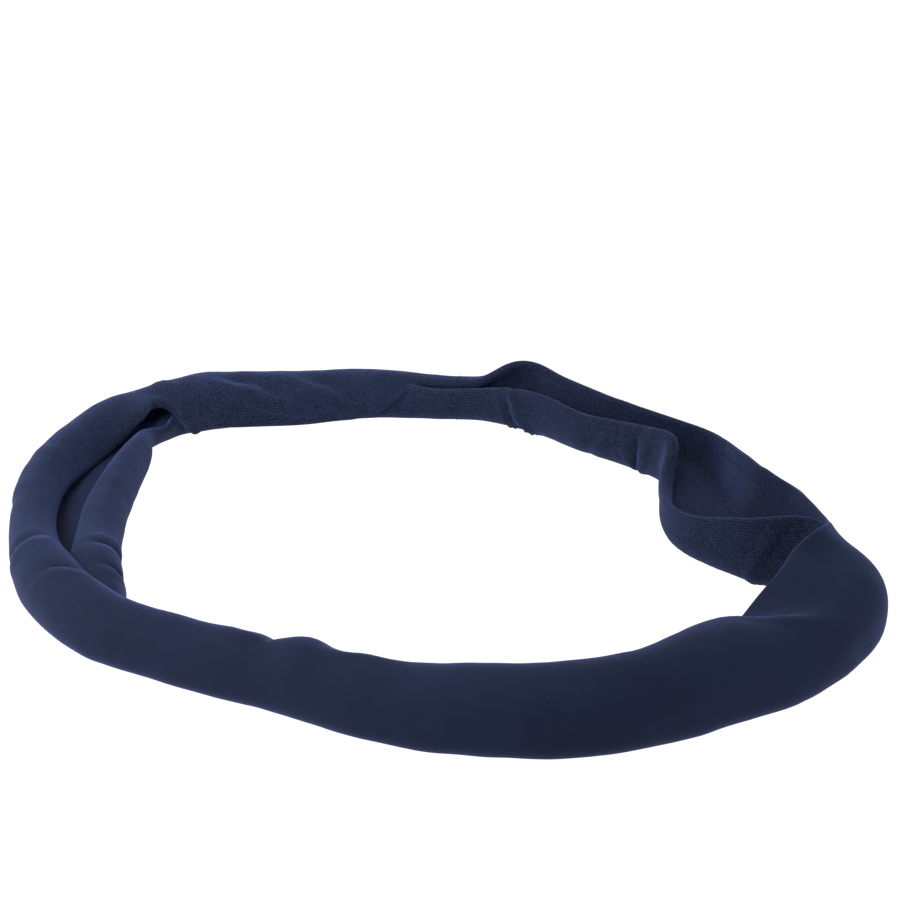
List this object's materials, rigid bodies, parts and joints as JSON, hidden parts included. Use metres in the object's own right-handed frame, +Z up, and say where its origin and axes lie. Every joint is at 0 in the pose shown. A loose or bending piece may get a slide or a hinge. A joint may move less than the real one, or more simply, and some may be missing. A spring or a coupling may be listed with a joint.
{
  "type": "sweat headband",
  "caption": "Soft closed loop of doubled jersey knit, folded lengthwise into an open channel; worn round the head to hold sweat and hair.",
  "frame": {"origin": "on the table, under the middle of the loop's box", "axes": "+Z up, the way the open channel faces; +X and +Y in the table, with +Y away from the viewer and +X to the viewer's right"},
  "size_m": [0.191, 0.1734, 0.0175],
  "materials": {
    "jersey_face": "navy cotton single jersey, matt, slightly fuzzy",
    "jersey_lining": "navy cotton single jersey, matt",
    "sewing_thread": "navy polyester sewing thread, slight sheen"
  },
  "bodies": {
    "root": {"face_panel": "jersey_face", "lining_panel": "jersey_lining", "outer_rim_seam": "sewing_thread", "inner_rim_seam": "sewing_thread", "face_join_seam": "sewing_thread", "lining_join_seam": "sewing_thread"}
  },
  "joints": []
}
